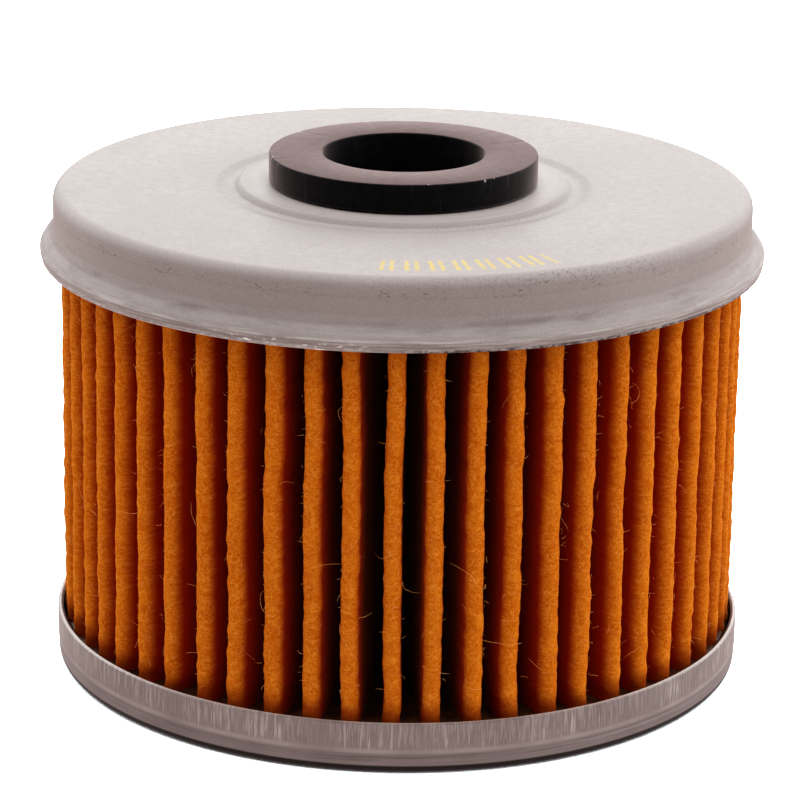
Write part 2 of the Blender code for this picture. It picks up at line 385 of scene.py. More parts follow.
def grey_paint():
    """Satin grey paint over pressed steel: painted paler on the boss as painted light against the
    seal's shade, with painted shade in the groove and in a line under the shoulder, gritty under the
    shoulder, darker in the flare with painted shade broken into smears, and worn along the lip with
    painted glints.
    Heights and radii are places on the top cap."""
    s = Shader("grey_paint")
    cloud = s.noise(s.point, 0.12, 3.0)
    mottle = s.noise(s.point, 1.4, 4.0, 0.6)
    grain = s.noise(s.point, 6.0, 3.0, 0.6)
    colour = s.mix(s.step(cloud, 0.35, 0.65), rgb(0.302, 0.271, 0.262), rgb(0.328, 0.296, 0.287))
    colour = s.mix(s.step(mottle, 0.3, 0.7, 0.0, 0.8), colour, rgb(0.317, 0.285, 0.274))
    colour = s.mix(s.step(grain, 0.52, 0.34, 0.0, 0.28), colour, rgb(0.245, 0.218, 0.209))
    colour = s.mix(s.step(grain, 0.52, 0.68, 0.0, 0.24), colour, rgb(0.44, 0.41, 0.40))

    # The boss that the seal stands on is painted paler: painted light against the shade the seal casts
    # on it. The groove's two edges are painted darker: painted shade on its slopes
    boss_painted_light = s.step(s.radius, 13.2, 11.0, 0.0, 0.85)
    colour = s.mix(boss_painted_light, colour, rgb(0.47, 0.425, 0.41))
    # painted shade on the groove's inner and outer slopes
    groove_inner_shade = s.product(s.band(s.radius, 12.95, 13.25, 0.2), 0.22)
    groove_outer_shade = s.product(s.band(s.radius, 14.1, 14.7, 0.4), 0.16)
    colour = s.mix(s.largest(groove_inner_shade, groove_outer_shade), colour, rgb(0.14, 0.11, 0.10))

    # Dirt and painted shade: a few fine specks all over, a broken line of grit under the shoulder with
    # a faint painted shade line in it, standing for the shade of a fine crease, heavier grit over the
    # shoulder in one place, and painted shade in the flare's concave bend, broken into smears
    speck = s.step(s.cells(s.point, 1.1), 0.085, 0.04)
    rare = s.step(s.noise(s.point, 0.5, 2.0), 0.57, 0.63)
    under_shoulder = s.band(s.z, 36.75, 37.45, 0.3)
    patch = s.step(s.noise(s.vector(s.product(s.angle, 9.0), 0.0, 0.0), 1.0, 2.0), 0.44, 0.58)
    grit = s.step(s.noise(s.unrolled(0.7, 1.3), 3.6, 4.0, 0.7), 0.55, 0.64)
    over_shoulder = s.band(s.z, 37.5, 38.34, 0.12)
    front_right = s.band(s.angle, -1.45, -0.75, 0.25)
    heavy = s.step(s.noise(s.point, 4.6, 4.0, 0.75), 0.53, 0.62)
    # a faint painted shade line under the shoulder, standing for a crease's shade
    crease_shade_line = s.band(s.z, 36.85, 37.0, 0.12)
    # painted shade in the flare's concave bend, broken up into smears by the noise below
    flare = s.band(s.z, 34.3, 35.2, 0.45)
    smear = s.step(s.noise(s.unrolled(0.22, 1.2), 0.8, 4.0, 0.6), 0.42, 0.68)
    dirt_and_shade = s.largest(
        s.product(speck, rare, 0.7),
        s.product(under_shoulder, patch, grit, 0.8),
        s.product(over_shoulder, front_right, heavy, 0.5),
        s.product(crease_shade_line, s.step(mottle, 0.35, 0.6, 0.03, 0.16)),
        s.product(flare, smear, 0.42),
    )
    colour = s.mix(dirt_and_shade, colour, rgb(0.09, 0.065, 0.055))

    # Faded yellow ink ticks, in pairs, where a production mark would be
    turn = s.math("FRACT", s.product(s.angle, 13.3))
    tick = s.band(s.math("ABSOLUTE", s.math("SUBTRACT", turn, 0.5)), 0.11, 0.29, 0.03)
    printed_radius = s.band(s.radius, 22.6, 25.3, 0.08)
    printed_angle = s.band(s.angle, -1.64, -1.10, 0.01)
    ink = s.product(tick, printed_radius, printed_angle)
    worn = s.step(s.noise(s.point, 2.2, 3.0), 0.38, 0.52, 0.55, 0.95)
    colour = s.mix(s.product(ink, worn), colour, rgb(0.48, 0.37, 0.10))

    # The lip is rubbed in fine lines, and its edge is chipped: to bright steel on one side of the
    # front and to dark steel on the other. Near-white painted glints on partly metallic specks sit
    # above the edge on the left of the front
    rubbed = s.noise(s.unrolled(0.05, 1.0), 5.0, 3.0, 0.6)
    lip = s.step(s.z, 34.25, 33.9)
    light_lines = s.product(lip, s.step(rubbed, 0.5, 0.6, 0.0, 0.32))
    dark_lines = s.product(lip, s.step(rubbed, 0.48, 0.38, 0.0, 0.42))
    colour = s.mix(light_lines, colour, rgb(0.62, 0.58, 0.56))
    colour = s.mix(dark_lines, colour, rgb(0.20, 0.17, 0.16))
    edge = s.step(s.z, 33.40, 33.24)
    burr = s.step(s.angle, -1.75, -1.45)
    broken = s.noise(s.unrolled(0.8, 2.0), 1.9, 4.0, 0.65)
    chips = s.step(s.math("ADD", broken, s.product(burr, 0.06)), 0.53, 0.58)
    cut_edge = s.step(s.z, 33.16, 33.08)
    glints = s.step(s.noise(s.unrolled(0.5, 2.0), 2.6, 2.0), 0.60, 0.66)
    glinting_side = s.band(s.angle, -2.05, -1.68, 0.12)
    # painted glints: near-white specks, partly metallic, on the left of the front
    bright = s.product(s.step(s.z, 33.9, 33.5), glints, glinting_side)
    bare = s.largest(s.product(edge, chips), cut_edge)
    steel = s.mix(burr, rgb(0.60, 0.57, 0.55), rgb(0.045, 0.030, 0.028))
    colour = s.mix(s.product(bare, 0.85), colour, steel)
    colour = s.mix(bright, colour, rgb(0.95, 0.93, 0.92))

    peel = s.noise(s.point, 2.4, 2.0)
    normal = s.bump(peel, 0.010, 0.5)
    normal = s.bump(grain, 0.010, 0.5, over=normal)
    rough = s.step(mottle, 0.3, 0.7, 0.42, 0.52)
    return s.set(
        Base_Color=colour,
        Roughness=rough,
        Metallic=s.product(s.largest(cut_edge, bright), 0.6),
        Normal=normal,
        Specular_IOR_Level=0.4,
    )


def drawn_steel():
    """The closed end's bare sheet: pale draw marks up the wall, dark turned lines near the base, a
    pale band between them, a painted highlight along the rim, and near-black painted shadow where the
    wall meets what it stands on."""
    s = Shader("drawn_steel")
    metal_share = 0.6
    cloud = s.noise(s.point, 0.25, 3.0)
    grain = s.noise(s.point, 5.0, 3.0, 0.6)
    marks = s.noise(s.unrolled(1.0, 0.05), 4.6, 3.0, 0.6)
    fine = s.noise(s.unrolled(1.0, 0.05), 9.0, 2.0, 0.6)
    some = s.noise(s.vector(s.product(s.angle, 7.0), 0.0, 0.0), 1.0, 2.0)
    upper = s.step(s.z, 1.8, 2.3)
    scratch = s.product(s.step(marks, 0.54, 0.64), upper, s.step(some, 0.36, 0.54))
    hatch = s.product(s.step(fine, 0.48, 0.60), upper, s.step(some, 0.25, 0.45))
    lines = s.noise(s.unrolled(0.02, 1.0), 7.0, 2.0)
    lower = s.band(s.z, 0.9, 1.55, 0.2)
    line = s.product(s.step(lines, 0.5, 0.6), lower)
    colour = s.mix(s.step(cloud, 0.3, 0.7), rgb(0.240, 0.213, 0.210), rgb(0.288, 0.258, 0.254))
    colour = s.mix(s.step(grain, 0.52, 0.34, 0.0, 0.4), colour, rgb(0.27, 0.235, 0.23))
    colour = s.mix(s.product(hatch, 0.24), colour, rgb(0.66, 0.62, 0.60))
    colour = s.mix(s.product(scratch, 0.32), colour, rgb(0.80, 0.77, 0.75))
    colour = s.mix(s.product(line, 0.5), colour, rgb(0.17, 0.145, 0.14))
    pale = s.product(s.band(s.z, 1.65, 2.0, 0.15), s.step(some, 0.3, 0.6, 0.15, 0.4))
    colour = s.mix(pale, colour, rgb(0.56, 0.52, 0.51))
    # a painted highlight along the rim's upper edge
    rim = s.step(s.z, 3.95, 4.05)
    colour = s.mix(s.product(rim, 0.3), colour, rgb(0.80, 0.72, 0.64))
    smudge = s.step(s.noise(s.point, 0.55, 3.0), 0.66, 0.72)
    colour = s.mix(s.product(smudge, 0.3), colour, rgb(0.22, 0.19, 0.18))
    # near-black painted shadow at the foot, where the wall meets the floor; the metal is taken away
    # there too
    contact_shadow = s.product(s.step(s.z, 0.74, 0.58), s.step(s.radius, 26.3, 26.6))
    colour = s.mix(s.product(contact_shadow, 0.95), colour, rgb(0.012, 0.010, 0.010))
    normal = s.bump(marks, 0.01, 0.35)
    normal = s.bump(lines, 0.01, 0.25, over=normal)
    rough = s.step(cloud, 0.3, 0.7, 0.33, 0.42)
    return s.set(
        Base_Color=colour,
        Roughness=rough,
        Metallic=s.math("SUBTRACT", metal_share, s.product(contact_shadow, metal_share)),
        Normal=normal,
        Specular_IOR_Level=0.12,
    )


def rubber():
    """Moulded black rubber, painted paler on the faces that look up as a painted reflection, with a
    few nicks and scuffs.
    """
    s = Shader("rubber")
    dust = s.noise(s.point, 1.2, 4.0, 0.65)
    colour = s.mix(s.step(dust, 0.4, 0.75), rgb(0.0015, 0.0017, 0.0025), rgb(0.006, 0.006, 0.007))
    # the faces that look up are painted paler: a painted reflection of the bright surroundings
    painted_top_reflection = s.step(s.facing_up(), 0.7, 0.95)
    fine = s.noise(s.point, 5.5, 3.0, 0.7)
    top_reflection_colour = s.mix(s.step(fine, 0.35, 0.65), rgb(0.053, 0.029, 0.027), rgb(0.068, 0.037, 0.035))
    colour = s.mix(painted_top_reflection, colour, top_reflection_colour)
    streak = s.noise(s.vector(s.x, s.y, s.product(s.z, 0.3)), 1.1, 3.0, 0.5, 1.5)
    scuff = s.product(s.step(streak, 0.63, 0.69), s.step(s.radius, 9.6, 10.2), 0.16)
    colour = s.mix(scuff, colour, rgb(0.09, 0.075, 0.075))
    edge = s.product(s.band(s.radius, 10.3, 10.7, 0.05), s.step(s.z, 40.75, 40.85))
    nick = s.step(s.noise(s.point, 2.3, 3.0), 0.66, 0.71)
    colour = s.mix(s.product(edge, nick), colour, rgb(0.40, 0.36, 0.36))
    grain = s.noise(s.point, 7.0, 3.0)
    normal = s.bump(grain, 0.012, 0.5)
    rough = s.step(dust, 0.3, 0.7, 0.46, 0.58)
    return s.set(
        Base_Color=colour,
        Roughness=rough,
        Normal=normal,
        Specular_IOR_Level=0.1,
        Sheen_Weight=0.60,
        Sheen_Roughness=0.32,
        Sheen_Tint=rgb(1.0, 0.80, 0.78),
    )


def filter_paper():
    """Felted, resin-treated paper: amber and fibrous on the folds, painted a darker red towards the
    axis between them as painted shade, and dark at the foot, where the glue creeps up."""
    s = Shader("filter_paper")
    mottle = s.noise(s.point, 0.6, 3.0)
    felt = s.noise(s.point, 4.2, 4.0, 0.7, 0.8)
    laid = s.unrolled(0.7, 1.6)
    leaning = s.unrolled(1.3, 0.8)
    strands = s.largest(s.ridge(laid, 1.7, 0.05), s.ridge(leaning, 2.3, 0.04))
    colour = s.mix(s.step(mottle, 0.3, 0.7), rgb(0.52, 0.119, 0.0025), rgb(0.60, 0.166, 0.005))
    colour = s.mix(s.step(felt, 0.42, 0.64, 0.0, 0.5), colour, rgb(0.72, 0.254, 0.016))
    colour = s.mix(s.step(felt, 0.48, 0.36, 0.0, 0.25), colour, rgb(0.41, 0.064, 0.0008))
    colour = s.mix(s.product(strands, 0.34), colour, rgb(0.90, 0.41, 0.065))
    creep = s.math("ADD", s.z, s.product(mottle, 1.2))
    glued = s.step(creep, 6.4, 4.7, 0.0, 0.8)
    # painted shade: dark red on the flanks inward of the tips, and near black further into the gaps
    flank_painted_shade = s.step(s.radius, 26.70, 25.4, 0.0, 0.92)
    gap_painted_shade = s.step(s.radius, 25.3, 21.8, 0.0, 0.90)
    colour = s.mix(glued, colour, rgb(0.20, 0.018, 0.001))
    colour = s.mix(flank_painted_shade, colour, rgb(0.38, 0.010, 0.0004))
    colour = s.mix(gap_painted_shade, colour, rgb(0.19, 0.002, 0.0003))
    normal = s.bump(felt, 0.07, 0.6)
    return s.set(
        Base_Color=colour,
        Roughness=0.9,
        Normal=normal,
        Specular_IOR_Level=0.06,
        Sheen_Weight=0.12,
        Sheen_Roughness=0.35,
        Sheen_Tint=rgb(1.0, 0.42, 0.10),
    )


def loose_fibre():
    """A hair of the paper, paler than the sheet."""
    s = Shader("loose_fibre")
    tone = s.noise(s.point, 1.5, 2.0)
    colour = s.mix(s.step(tone, 0.35, 0.65), rgb(0.80, 0.30, 0.05), rgb(0.92, 0.52, 0.20))
    return s.set(Base_Color=colour, Roughness=0.7, Specular_IOR_Level=0.3)


def resin():
    """Cured dark glue with a slow, uneven surface."""
    s = Shader("resin")
    flow = s.noise(s.point, 0.9, 3.0)
    colour = s.mix(s.step(flow, 0.35, 0.65), rgb(0.035, 0.012, 0.005), rgb(0.085, 0.030, 0.010))
    normal = s.bump(s.noise(s.point, 2.5, 2.0), 0.08, 0.5)
    rough = s.step(flow, 0.3, 0.7, 0.35, 0.55)
    return s.set(Base_Color=colour, Roughness=rough, Normal=normal)


def plain_steel():
    """Bare sheet with the fine lines of rolling, for the pieces inside."""
    s = Shader("plain_steel")
    cloud = s.noise(s.point, 0.5, 3.0)
    rolled = s.noise(s.unrolled(0.15, 1.0, radius=11.0), 9.0, 3.0)
    colour = s.mix(s.step(cloud, 0.3, 0.7), rgb(0.40, 0.39, 0.37), rgb(0.46, 0.45, 0.43))
    colour = s.mix(s.step(rolled, 0.55, 0.7, 0.0, 0.4), colour, rgb(0.66, 0.65, 0.62))
    normal = s.bump(rolled, 0.008, 0.4)
    rough = s.step(cloud, 0.3, 0.7, 0.32, 0.38)
    return s.set(Base_Color=colour, Roughness=rough, Metallic=0.95, Normal=normal)


def spring_steel():
    """Dark drawn wire."""
    s = Shader("spring_steel")
    drawn = s.noise(s.point, 3.0, 3.0)
    colour = s.mix(s.step(drawn, 0.3, 0.7), rgb(0.20, 0.20, 0.20), rgb(0.36, 0.35, 0.34))
    normal = s.bump(s.noise(s.point, 8.0, 2.0), 0.006, 0.4)
    rough = s.step(drawn, 0.3, 0.7, 0.25, 0.4)
    return s.set(Base_Color=colour, Roughness=rough, Metallic=1.0, Normal=normal)


# Pieces


def make_top_cap(material):
    flange = radius_of("top_end_cap")
    lip_z = bottom_of("top_end_cap")
    boss_z = top_of("top_end_cap")
    boss_height = 0.3
    flare_width = 1.1
    hole = 7.6
    face_z = boss_z - boss_height
    wall = flange - flare_width
    line = filleted(
        [
            (hole, boss_z, 0),
            (12.75, boss_z, 0.25),
            # the groove round the boss
            (13.2, boss_z - 0.44, 0.25),
            (13.85, boss_z - 0.50, 0.4),
            (14.75, face_z - 0.02, 0.8),
            (16.4, face_z, 1.5),
            # the shoulder and the wall
            (wall, face_z, 0.95),
            (wall, 35.5, 0.9),
            # the flare and its lip
            (wall + 0.25, 34.75, 0.6),
            (flange - 0.30, 34.25, 0.5),
            (flange - 0.02, 33.8, 0.2),
            (flange - 0.02, 33.6, 0.1),
            (flange - 0.11, 33.48, 0.1),
            (flange - 0.05, 33.36, 0.1),
            (flange - 0.12, lip_z, 0),
        ]
    )

    def stamped(angle, r, z):
        """An uneven flare, and slow waves in the flat face outside the groove."""
        spot = Vector(polar(1.0, angle, 0.0))
        slow = noise.noise(spot * 1.7 + Vector((0.0, 0.0, z * 0.05)))
        in_flare = z < 34.5
        on_face = 16.0 < r < 26.0
        if in_flare:
            quick = noise.noise(spot * 9.0 + Vector((3.0, 0.0, z * 0.3)))
            return r - 0.02 - 0.04 * abs(slow) - 0.02 * abs(quick), z + 0.05 * slow * (r > 27)
        return r, z + (0.03 * slow if on_face else 0.0)

    piece = turned("top_cap_shell", sheet_outline(line), material, 320, stamped)
    place(piece, "top_end_cap")


def make_bottom_cap(material):
    wall = radius_of("bottom_end_cap")
    rim_z = top_of("bottom_end_cap")
    recess_z = 1.6
    port = 4.0
    line = filleted(
        [
            (wall - 0.02, rim_z - 0.08, 0),
            (wall - 0.01, rim_z - 0.14, 0),
            (wall, 3.3, 0.5),
            # the shallow crease low on the wall
            (wall - 0.01, 1.55, 0.4),
            (wall - 0.09, 1.38, 0.2),
            (wall - 0.04, 1.20, 0.2),
            # the foot and the recess inside it
            (wall - 0.10, 0.0, 0.95),
            (17.0, 0.0, 0.8),
            (15.4, recess_z, 0.8),
            (port + 0.3, recess_z, 0.3),
            (port, recess_z + 0.15, 0),
        ]
    )

    def drawn(angle, r, z):
        """The wall pulled in unevenly, and more so higher up."""
        spot = Vector(polar(1.0, angle, 0.0))
        slow = noise.noise(spot * 2.3)
        even_below = 2.5
        if z > even_below:
            return r - 0.03 * abs(slow) * (z - even_below), z - 0.03 * abs(slow)
        return r, z

    piece = turned("bottom_cap_shell", sheet_outline(line), material, 320, drawn)
    place(piece, "bottom_end_cap")


def make_seal(material):
    top = top_of("seal_grommet")
    low = bottom_of("seal_grommet")
    outer = radius_of("seal_grommet")
    middle = (top + low) / 2
    bore = 6.35
    neck = 7.3
    inner_flange = 8.6
    line = filleted(
        [
            (bore, middle, 0),
            (bore, top, 0.16),
            (outer, top, 0.14),
            (outer, top - 2.2, 0.15),
            # the neck that grips the edge of the cap's hole
            (neck, top - 2.2, 0.1),
            (neck, top - 3.0, 0.1),
            (inner_flange, top - 3.0, 0.3),
            (inner_flange, low, 0.4),
            (bore, low, 0.3),
            (bore, middle, 0),
        ],
        segments=4,
    )

    def moulded(angle, r, z):
        """Slow waves in the wall, and small chips out of the upper edge."""
        spot = Vector(polar(1.0, angle, z * 0.2))
        wave = noise.noise(spot * 2.0)
        at_edge = r > 10.2 and z > 40.7
        chip = max(0.0, noise.noise(spot * 14.0) - 0.35) if at_edge else 0.0
        return r - 0.02 * abs(wave) - 0.08 * chip, z - 0.12 * chip

    piece = turned("outlet_seal", line[:-1], material, 240, moulded)
    place(piece, "seal_grommet")


# The pleats. A fold's tip is a half circle; the one at the seam, under the clip, is set back
PLEATS = 55
TIP_R = 26.85
TIP_HALF = 0.68
SEAM_TIP_R = 25.9
SEAM_TIP_HALF = 0.62
ROOT_R = 12.3
TUBE_SIDE_R = 11.45
SEAM = math.radians(90)


def pleat_angles(rng):
    """The direction of each pleat's tip, counted round from the seam, unevenly spaced."""
    pitch = 2 * math.pi / PLEATS
    angles = []
    for k in range(PLEATS):
        round_the_back = math.sin(math.pi * k / PLEATS)
        drift = math.radians(2.6) * round_the_back ** 0.6
        angles.append(SEAM + k * pitch + drift + math.radians(rng.uniform(-0.45, 0.45)) * (k > 0))
    return angles


def pleat_section(angle, half, tip_r, before, after):
    """The outer face's points (x, y, share) across one pleat, from the valley before it to its
    tip and back down. share is how far a point follows the tip's waviness."""
    points = []

    def add(r, aside, share, around=angle):
        x = r * math.cos(around) - aside * math.sin(around)
        y = r * math.sin(around) + aside * math.cos(around)
        points.append((x, y, share))

    def flank(side, edge):
        """A side's points (r, aside, share), from the valley up to the tip's half circle."""
        root_aside = ROOT_R * math.tan(edge - angle) - side * valley
        rows = []
        for t, share in ((0.3, 0.2), (0.7, 0.6), (0.88, 0.88), (0.96, 0.97)):
            r = ROOT_R + (centre_r - ROOT_R) * t
            rows.append((r, root_aside + (side * half - root_aside) * t, share))
        return rows

    centre_r = tip_r - half
    valley = 0.13
    tip_steps = 6
    add(ROOT_R, 0.0, 0.0, around=before)
    for r, aside, share in flank(-1, before):
        add(r, aside, share)
    for i in range(tip_steps + 1):
        bend = math.pi * i / tip_steps
        add(centre_r + half * math.sin(bend), -half * math.cos(bend), 1.0)
    for r, aside, share in reversed(flank(1, after)):
        add(r, aside, share)
    return points


def waved(x, y, share, k, angle, z):
    """A point of pleat k at height z, leaning, rippling and rough as far as share says."""
    own = Vector((k * 7.3, 0.0, z))
    lean = 0.16 * noise.noise(own * 0.13) + 0.07 * noise.noise(own * 0.55)
    ripple = 0.09 * noise.noise(own * 1.5 + Vector((x, y, 0.0)) * 0.9)
    out = 0.06 * noise.noise(own * 0.3 + Vector((0.0, 50.0, 0.0)))
    rough = 0.09 * noise.noise(Vector((x, y, z)) * 1.4)
    side = share * (lean + ripple) * (k > 0)
    reach = share * (out + rough) - 0.05 * share
    return (
        x + reach * math.cos(angle) - side * math.sin(angle),
        y + reach * math.sin(angle) + side * math.cos(angle),
        z,
    )


def inner_face(x, y, angle, z):
    """The point of the strip's inner face that backs an outer point, drawn in to the pleat."""
    r = math.hypot(x, y)
    gap = (math.atan2(y, x) - angle + math.pi) % (2 * math.pi) - math.pi
    depth = TUBE_SIDE_R + (r - ROOT_R) * 0.93
    squeeze = 0.35 if r > ROOT_R + 1 else 0.8
    return polar(depth, angle + gap * squeeze, z)


def make_pleats(material):
    """One closed surface: the folded outer face in rows, and the inner face behind it."""
    rng = random.Random(11)
    angles = pleat_angles(rng)
    low = bottom_of("pleated_media") - 0.2
    high = top_of("pleated_media")
    rows = 108
    shape = bmesh.new()
    section = []
    for k, angle in enumerate(angles):
        before = (angles[k - 1] - (2 * math.pi if k == 0 else 0) + angle) / 2
        after = (angles[(k + 1) % PLEATS] + (2 * math.pi if k == PLEATS - 1 else 0) + angle) / 2
        half = SEAM_TIP_HALF if k == 0 else TIP_HALF + rng.uniform(-0.03, 0.03)
        tip_r = SEAM_TIP_R if k == 0 else TIP_R - abs(rng.gauss(0.0, 0.05))
        for x, y, share in pleat_section(angle, half, tip_r, before, after):
            section.append((x, y, share, k))
    rings = []
    for j in range(rows):
        z = low + (high - low) * j / (rows - 1)
        spots = [waved(x, y, share, k, angles[k], z) for x, y, share, k in section]
        rings.append([shape.verts.new(spot) for spot in spots])
    inner = []
    for z in (low, high):
        spots = [inner_face(x, y, angles[k], z) for x, y, _, k in section]
        inner.append([shape.verts.new(spot) for spot in spots])
    for here, after in zip(rings, rings[1:]):
        skin(shape, here, after)
    skin(shape, inner[1], inner[0])
    skin(shape, inner[0], rings[0])
    skin(shape, rings[-1], inner[1])
    piece = add_mesh("paper_pleats", shape, material, sharp_degrees=75)
    place(piece, "pleated_media")
    return angles


def fibre_path(rng, start, heading, length, steps, restless):
    """A curling line from start: its heading swings a little further at every step."""
    points = [start.copy()]
    swing = Vector((rng.gauss(0, 1), rng.gauss(0, 1), rng.gauss(0, 1))) * restless
    for _ in range(steps - 1):
        heading = (heading + swing).normalized()
        swing += Vector((rng.gauss(0, 1), rng.gauss(0, 1), rng.gauss(0, 1))) * restless * 0.5
        points.append(points[-1] + heading * (length / (steps - 1)))
    return points


def make_loose_fibres(angles, material):
    """Short hairs raised from the pleats' tips, and longer ones curling across the gaps. They
    start between low and high, and go no further out than furthest."""
    rng = random.Random(5)
    shape = bmesh.new()
    low, high = 5.0, 32.5
    short = 2600
    long = 100
    furthest = TIP_R + 0.35
    taper = 0.6
    for i in range(short + long):
        is_long = i >= short
        angle = rng.choice(angles[1:]) + math.radians(rng.uniform(-1.6, 1.6))
        direction = Vector(polar(1.0, angle, 0.0))
        sideways = Vector((-direction.y, direction.x, 0.0))
        start = direction * (TIP_R - rng.uniform(0.05, 0.5))
        start += Vector((0.0, 0.0, rng.uniform(low, high)))
        heading = sideways * rng.gauss(0.0, 0.9) + Vector((0.0, 0.0, rng.gauss(0.0, 0.7)))
        heading = (heading + direction * rng.uniform(0.1, 0.5)).normalized()
        if is_long:
            points = fibre_path(rng, start, heading, rng.uniform(0.9, 3.4), 14, 0.16)
            thick = rng.uniform(0.011, 0.017)
        else:
            points = fibre_path(rng, start, heading, rng.uniform(0.2, 0.7), 4, 0.25)
            thick = rng.uniform(0.010, 0.016)
        for point in points:
            reach = math.hypot(point.x, point.y)
            if reach > furthest:
                point.x *= furthest / reach
                point.y *= furthest / reach
            point.z = min(max(point.z, low - 0.5), high + 0.3)
        last = len(points) - 1
        radii = [thick * (1.0 - taper * j / last) for j in range(last + 1)]
        tube_along(shape, points, radii, 4)
    piece = add_mesh("loose_fibres", shape, material, sharp_degrees=120)
    place(piece, None)


def make_resin_ring(name, node, material, rise):
    """A cured bead whose free face, the upper one if rise is positive, creeps along the paper by
    about rise. The lower bead fits over the closed end's recess."""
    low_corner, high_corner = bottom_of(node), top_of(node)
    outer = radius_of(node)
    inner = 11.5
    over_recess = 2.35
    if rise > 0:
        corners = [
            (inner, over_recess, 0),
            (inner, high_corner, 0.3),
            (outer, high_corner, 0.3),
            (outer, low_corner + 0.8, 0.3),
            (outer - 0.8, low_corner, 0.3),
            (17.2, low_corner, 0.4),
            (15.7, over_recess, 0.4),
            (inner, over_recess, 0),
        ]
        free = high_corner
    else:
        corners = [
            (inner, low_corner + 0.6, 0),
            (inner, high_corner, 0.3),
            (outer, high_corner, 0.3),
            (outer, low_corner, 0.3),
            (inner, low_corner, 0.3),
            (inner, low_corner + 0.6, 0),
        ]
        free = low_corner

    def slumped(angle, r, z):
        spot = Vector(polar(r, angle, 0.0))
        on_free_face = abs(z - free) < 0.35
        if on_free_face:
            return r, z + rise * (0.5 + noise.noise(spot * 0.9))
        return r, z

    line = filleted(corners, segments=3)[:-1]
    piece = turned(name, line, material, 240, slumped)
    place(piece, node)


def make_seam_clip(material):
    """A steel channel over the strip's ends, its sides dimpled where it was crimped."""
    low, high = bottom_of("media_seam_clip"), top_of("media_seam_clip")
    back = 26.3
    depth = 3.8
    half = 1.28
    sheet = 0.3
    crimp_pitch = 5.3
    pinch_depth = 0.16
    outer = filleted(
        [(back - depth, -half, 0), (back, -half, 0.45), (back, half, 0.45), (back - depth, half, 0)]
    )
    loop = outer + offset_line(outer, -sheet)[::-1]
    rows = 64
    shape = bmesh.new()
    rings = []
    for j in range(rows):
        z = low + (high - low) * j / (rows - 1)
        crimp = max(0.0, math.cos((z - low) * 2 * math.pi / crimp_pitch)) ** 6
        ring = []
        for r, aside in loop:
            side_share = min(1.0, max(0.0, (back - 0.6 - r) / 1.2))
            pinch = pinch_depth * crimp * side_share * (1 if aside > 0 else -1)
            # the clip lies along +Y
            ring.append(shape.verts.new((-(aside - pinch), r, z)))
        rings.append(ring)
    for here, after in zip(rings, rings[1:]):
        skin(shape, here, after)
    count = len(loop)
    for ring in (rings[0], rings[-1]):
        for i in range(len(outer) - 1):
            shape.faces.new((ring[i], ring[i + 1], ring[count - 2 - i], ring[count - 1 - i]))
    piece = add_mesh("seam_clip_channel", shape, material)
    place(piece, "media_seam_clip")


def solidified(piece, thickness):
    """Thickens a surface inwards."""
    shell = piece.modifiers.new("Sheet", "SOLIDIFY")
    shell.thickness = thickness * MM
    shell.offset = -1.0


def make_tube(material):
    """The perforated tube, unrolled into square cells with a round hole in each. A place on it is
    (turn, z), where turn counts columns of faces round the tube."""
    radius = radius_of("centre_tube")
    low, high = bottom_of("centre_tube"), top_of("centre_tube")
    around, rows = 10, 5
    first_z = 6.0
    cell_high = 6.0
    hole = 1.5
    thickness = 0.5
    across, up = 8, 6
    columns = around * across
    column_width = 2 * math.pi * radius / columns
    shape = bmesh.new()
    known = {}

    def vert(turn, z):
        key = (round(turn % columns, 4) % columns, round(z, 4))
        if key not in known:
            known[key] = shape.verts.new(polar(radius, 2 * math.pi * turn / columns, z))
        return known[key]

    def border(start, base_z):
        """The places round a cell's border, from its lower left corner."""
        places = [(start + i, base_z) for i in range(across)]
        places += [(start + across, base_z + cell_high * i / up) for i in range(up)]
        places += [(start + across - i, base_z + cell_high) for i in range(across)]
        places += [(start, base_z + cell_high * (1 - i / up)) for i in range(up)]
        return places

    for low_z, high_z in ((low, first_z), (first_z + rows * cell_high, high)):
        for c in range(columns):
            shape.faces.new(
                (vert(c, low_z), vert(c + 1, low_z), vert(c + 1, high_z), vert(c, high_z))
            )
    for row in range(rows):
        base_z = first_z + row * cell_high
        middle_z = base_z + cell_high / 2
        for k in range(around):
            start = k * across - (0 if row % 2 else across / 2)
            middle = start + across / 2
            loops = []
            # each loop lies a share of the way from the border to the hole's edge
            for share in (0.0, 0.55, 0.85, 1.0):
                loop = []
                for turn, z in border(start, base_z):
                    length = math.hypot((turn - middle) * column_width, z - middle_z)
                    keep = 1 - share * (1 - hole / length)
                    spot = (middle + (turn - middle) * keep, middle_z + (z - middle_z) * keep)
                    loop.append(vert(*spot))
                loops.append(loop)
            for here, inner in zip(loops, loops[1:]):
                skin(shape, here, inner)
    piece = add_mesh("perforated_tube", shape, material, sharp_degrees=50)
    solidified(piece, thickness)
    place(piece, "centre_tube")


